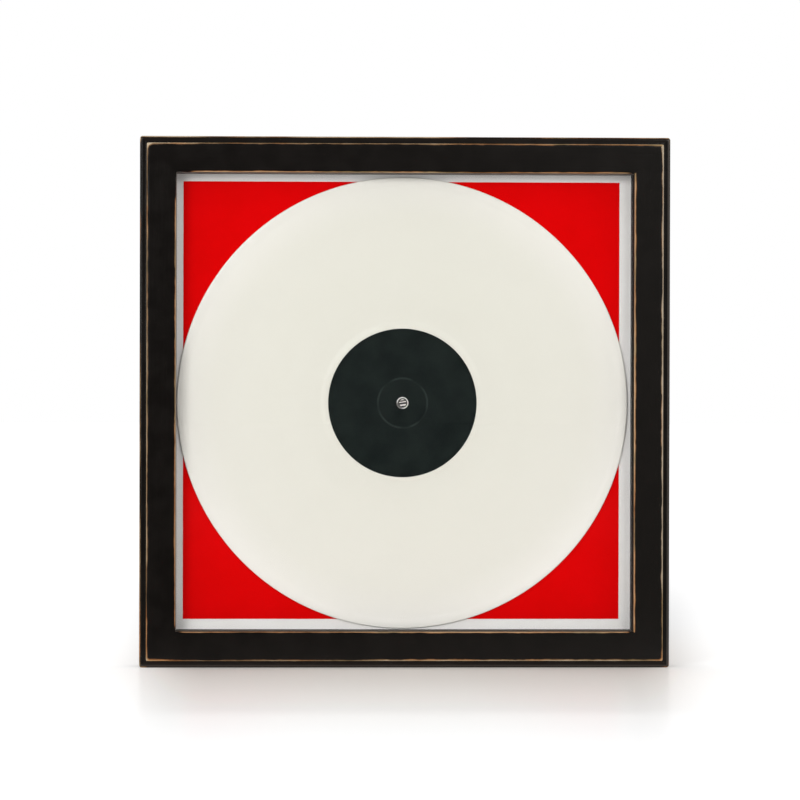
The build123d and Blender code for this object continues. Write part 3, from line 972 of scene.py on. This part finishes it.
def record_half():
    """Half of the record's section, from the bore to the rim, as radius and height."""
    half = (RECORD_BACK - RECORD_FRONT) / 2
    seat = half - LABEL_PAPER
    web = half - WEB_DROP
    label_edge = LABEL_RADIUS + LABEL_PLAY
    land_edge = label_edge + LAND_WIDTH
    rim_start = RECORD_RADIUS - RIM_WIDTH
    points = [(HOLE_RADIUS, seat)]
    points += ring_dip(PRESS_RING_RADIUS, PRESS_RING_HALF, seat, PRESS_RING_DEPTH)
    points += [(label_edge, seat), (label_edge, half - BEVEL_DROP), (label_edge + BEVEL_WIDTH, half)]
    points += blend_step((land_edge, half), (land_edge + SLOPE_WIDTH, web))
    points += [(radius * MM, web) for radius in WEB_RINGS]
    points += blend_step((rim_start - SLOPE_WIDTH, web), (rim_start, half))
    edge = RECORD_RADIUS - EDGE_ROUND
    for step in range(RIM_ARC_STEPS + 1):
        angle = math.pi / 2 * step / RIM_ARC_STEPS
        height = half - EDGE_ROUND + EDGE_ROUND * math.cos(angle)
        points.append((edge + EDGE_ROUND * math.sin(angle), height))
    return points


def make_record():
    middle = (RECORD_FRONT + RECORD_BACK) / 2
    half = record_half()
    front = [(radius, middle - height) for radius, height in half]
    back = [(radius, middle + height) for radius, height in reversed(half)]
    disc = turned("record_disc_vinyl", front + back, RECORD_STEPS, RECORD_SHARP_ANGLE)
    stand_for(disc, "frame", "record_disc", cream_vinyl())
    material = label_paper()
    for node, face, forward in (("front_label", RECORD_FRONT, 1), ("back_label", RECORD_BACK, -1)):
        top = [(HOLE_RADIUS, 0.0)]
        top += ring_dip(PRESS_RING_RADIUS, PRESS_RING_HALF, 0.0, PRESS_RING_DEPTH, 10)
        top += [(radius * MM, 0.0) for radius in LABEL_RINGS]
        top += [(LABEL_RADIUS - BEVEL_WIDTH, 0.0), (LABEL_RADIUS, -BEVEL_DROP)]
        outline = [(radius, face - height * forward) for radius, height in top]
        under = [(radius, face - (height - LABEL_PAPER) * forward) for radius, height in reversed(top)]
        label = turned(node + "_paper", outline + under, LABEL_STEPS)
        stand_for(label, "frame", node, material)


def dress(material, *names):
    """Give frame nodes that keep their own shape a better finish."""
    for name in names:
        for slot in nodes[name].material_slots:
            slot.material = material


NICKEL = (0.5, 0.48, 0.44, 1.0)
ZINC = (0.4, 0.4, 0.395, 1.0)
HARDBOARD_SCREEN = 2100.0


def dress_nodes():
    dress(clear_pane(), "glazing_pane")
    # Spacer faces with painted light by side: lit at the top and left, half lit at the bottom, unlit on
    # the right
    dress(spacer_strip("lit_spacer", rgba(156, 143, 135)), "top_spacer", "left_spacer")
    dress(spacer_strip("half_lit_spacer", rgba(84, 75, 66)), "bottom_spacer")
    dress(spacer_strip("dark_spacer", rgba(20, 19, 19)), "right_spacer")
    dress(paper("red_paper", rgba(225, 0, 1), rgba(230, 0, 3), 0.55, 0.01), "red_panel")
    dress(paper("white_card", rgba(246, 243, 240), rgba(249, 247, 245), 0.6), "sleeve_card")
    dress(fibre_board("board_fibre", rgba(168, 132, 92), rgba(180, 146, 104)), "mount_board")
    dress(paper("packing_card", rgba(150, 118, 82), rgba(164, 132, 96), 0.75), "filler_board")
    back = fibre_board("brown_hardboard", rgba(104, 70, 44), rgba(122, 84, 54), HARDBOARD_SCREEN)
    dress(back, "back_panel")
    dress(centre_bush_plastic(), "centre_bush")
    dress(centre_screw_plate(), "centre_screw")
    dress(metal("nickel_plate", NICKEL, 0.2), "turn_button_screws", "hanger_screws")
    zinc = metal("zinc_plate", ZINC, 0.3, 0.14)
    buttons = ["turn_button_top", "turn_button_right", "turn_button_bottom", "turn_button_left"]
    hangers = ["left_hanger_strap", "right_hanger_strap", "left_hanger_ring", "right_hanger_ring"]
    dress(zinc, "corner_v_nails", "centre_washer", "centre_nut", *buttons, *hangers)
    dress(black_rubber(), "wall_bumpers")


# Floor: matt and pale, with a soft glow where the camera sees it, lowered near the frame as a painted
# shade, and with a slight sheen

FLOOR_HALF = 12.0
FLOOR_ALBEDO = 0.92
DIM_FLOOR = 0.02
MIRRORED_FLOOR_START = -0.1
MIRRORED_FLOOR_END = -0.34
WARM_SHADE = (1.0, 0.96, 0.918, 1.0)
WARM_SHADE_END = 4 * HALF
WARM_SHARE_BESIDE = 0.25
WHITE = (1.0, 1.0, 1.0, 1.0)

# The painted shade in front of the frame: its soft side edges, and how it leans away on the right
SHADE_INSIDE = -0.036
SHADE_OUTSIDE = 0.033
SHADE_RIGHT = 0.008
SHADE_LEAN = 0.095
LEAN_START = -0.05
LEAN_END = 0.05
SHADE_BACK_END = 2.0

# The glow: at the frame, its rises in front of it as start, end and rise, and beside the painted shade
GLOW_AT_FRAME = 0.06
GLOW_STEPS = [(0.05, 0.46, 0.18), (0.44, 0.51, 0.1), (0.53, 0.9, 0.1), (0.9, 2.2, 0.3)]
GLOW_SIDE_FRONT = 0.46
GLOW_SIDE_BACK = 0.56
GLOW_SIDE_START = -0.1
GLOW_SIDE_END = 0.05
GLOW_FAR = 0.3
GLOW_FAR_START = 1.0
GLOW_FAR_END = 3.0

FLOOR_SHEEN = 0.14
FLOOR_SHEEN_ROUGHNESS = 0.2
SHEEN_START = 0.02
SHEEN_END = 1.3


def floor_glow(finish, x, y, away):
    """The glow's strength at a point of the floor, and the share of the frame's painted shade there."""
    in_front = finish.minus(FRONT_Y, y)
    lean = finish.times(in_front, finish.span(x, LEAN_START, LEAN_END, 0.0, SHADE_LEAN))
    off_middle = finish.math("ABSOLUTE", finish.minus(finish.plus(x, lean), SHADE_RIGHT))
    beside = finish.minus(off_middle, HALF)
    near = finish.span(beside, SHADE_INSIDE, SHADE_OUTSIDE, 1.0, 0.0)
    shaded = GLOW_AT_FRAME
    for start, end, rise in GLOW_STEPS:
        shaded = finish.plus(shaded, finish.span(in_front, start, end, 0.0, rise, smooth=False))
    shaded = finish.most(shaded, finish.span(y, 0.0, SHADE_BACK_END, GLOW_AT_FRAME, GLOW_SIDE_BACK))
    clear_floor = finish.plus(
        finish.span(y, GLOW_SIDE_START, GLOW_SIDE_END, GLOW_SIDE_FRONT, GLOW_SIDE_BACK),
        finish.span(away, GLOW_FAR_START, GLOW_FAR_END, 0.0, GLOW_FAR),
    )
    return finish.span(near, 0.0, 1.0, clear_floor, shaded, smooth=False), near


def make_floor():
    built = bmesh.new()
    corners = [(-1, -1), (1, -1), (1, 1), (-1, 1)]
    built.faces.new([built.verts.new((x * FLOOR_HALF, y * FLOOR_HALF, 0)) for x, y in corners])
    floor = finish_mesh("studio_floor", built, SHARP_ANGLE)
    finish = Finish("pale_floor")
    path = finish.node("ShaderNodeLightPath").outputs
    x, y, _ = finish.parts(finish.place())
    away = finish.length(x, y)
    glow_level, near = floor_glow(finish, x, y, away)
    warmth = finish.times(
        finish.span(away, HALF, WARM_SHADE_END, 1.0, 0.0),
        finish.span(near, 0.0, 1.0, WARM_SHARE_BESIDE, 1.0),
    )
    tint = finish.mix(warmth, WHITE, WARM_SHADE)
    glow = finish.node("ShaderNodeEmission", {0: tint, 1: glow_level}).outputs[0]
    pale = finish.scaled(tint, (FLOOR_ALBEDO, FLOOR_ALBEDO, FLOOR_ALBEDO))
    matt = finish.node("ShaderNodeBsdfDiffuse", {0: pale}).outputs[0]
    lit = finish.node("ShaderNodeAddShader", {0: glow, 1: matt}).outputs[0]
    gloss_inputs = {0: WHITE, "Roughness": FLOOR_SHEEN_ROUGHNESS}
    gloss = finish.node("ShaderNodeBsdfAnisotropic", gloss_inputs).outputs[0]
    sheen = finish.span(y, -SHEEN_END, -SHEEN_START, 0.0, FLOOR_SHEEN, smooth=False)
    shiny = finish.node("ShaderNodeMixShader", {0: sheen, 1: lit, 2: gloss}).outputs[0]

    # Light that the floor throws back onto the frame comes from a dim floor
    dim = finish.node("ShaderNodeBsdfDiffuse", {0: (DIM_FLOOR, DIM_FLOOR, DIM_FLOOR, 1.0)}).outputs[0]
    plain_inputs = {0: path["Is Diffuse Ray"], 1: dim, 2: matt}
    plain = finish.node("ShaderNodeMixShader", plain_inputs).outputs[0]
    mirrored = finish.most(path["Is Glossy Ray"], path["Is Transmission Ray"])
    mirrored = finish.times(mirrored, finish.span(y, MIRRORED_FLOOR_END, MIRRORED_FLOOR_START))
    seen = finish.most(path["Is Camera Ray"], mirrored)
    mixed = finish.node("ShaderNodeMixShader", {0: seen, 1: plain, 2: shiny}).outputs[0]
    finish.feed(finish.output.inputs["Surface"], mixed)
    floor.data.materials.append(finish.material)


# World, lamps and camera

FILL_LEVEL = 0.52
BEHIND_CAMERA_LEVEL = 0.012
BEHIND_START = -0.2
BEHIND_END = 0.25

# Each lamp's name, place, width, height and power
LAMPS = [
    ("key_lamp", (-1.72, -4.37, 1.02), 1.6, 1.5, 83.0),
    ("side_lamp", (1.35, -4.25, 1.4), 1.1, 1.1, 38.0),
]


def make_world():
    """White where it is seen, an even grey where it lights, and dim behind the camera in gloss."""
    world = bpy.data.worlds.new("studio")
    bpy.context.scene.world = world
    world.use_nodes = True
    sky = Nodes(world.node_tree)
    background = sky.tree.nodes["Background"]
    path = sky.node("ShaderNodeLightPath").outputs
    direction = sky.parts(sky.node("ShaderNodeTexCoord").outputs["Generated"])
    gloss_inputs = {
        "Value": direction[1],
        "From Min": BEHIND_START,
        "From Max": BEHIND_END,
        "To Min": BEHIND_CAMERA_LEVEL,
        "To Max": 1.0,
    }
    gloss = sky.node("ShaderNodeMapRange", gloss_inputs).outputs[0]
    mirrored = sky.most(path["Is Glossy Ray"], path["Is Transmission Ray"])
    lighting = sky.node("ShaderNodeMix", {0: mirrored, 2: FILL_LEVEL, 3: gloss}).outputs[0]
    strength = sky.node("ShaderNodeMix", {0: path["Is Camera Ray"], 2: lighting, 3: 1.0}).outputs[0]
    sky.feed(background.inputs["Color"], WHITE)
    sky.feed(background.inputs["Strength"], strength)


def make_lamps():
    """Soft round lamps that look at the middle of the frame."""
    middle = Vector((0, 0, CENTRE_Z))
    for name, place, width, height, power in LAMPS:
        lamp = bpy.data.lights.new(name, "AREA")
        lamp.shape = "ELLIPSE"
        lamp.size = width
        lamp.size_y = height
        lamp.energy = power
        holder = bpy.data.objects.new(name, lamp)
        bpy.context.scene.collection.objects.link(holder)
        holder.location = place
        holder.rotation_euler = (middle - Vector(place)).to_track_quat("-Z", "Y").to_euler()


def make_camera():
    camera = bpy.data.cameras.new("photo_camera")
    camera.lens = CAMERA_LENS
    camera.sensor_width = SENSOR_WIDTH
    camera.clip_end = CAMERA_REACH
    holder = bpy.data.objects.new("photo_camera", camera)
    bpy.context.scene.collection.objects.link(holder)
    forward = Vector(
        (
            math.sin(CAMERA_YAW) * math.cos(CAMERA_PITCH),
            math.cos(CAMERA_YAW) * math.cos(CAMERA_PITCH),
            math.sin(CAMERA_PITCH),
        )
    )
    level_right = forward.cross(Vector((0, 0, 1))).normalized()
    level_up = level_right.cross(forward)
    right = level_right * math.cos(CAMERA_ROLL) + level_up * math.sin(CAMERA_ROLL)
    up = right.cross(forward)
    turn = Matrix((right, up, -forward)).transposed()
    holder.matrix_world = Matrix.Translation(CAMERA_PLACE) @ turn.to_4x4()
    bpy.context.scene.camera = holder


make_camera()
make_sides()
make_record()
dress_nodes()
make_floor()
make_world()
make_lamps()
bpy.context.scene.view_settings.view_transform = "Standard"
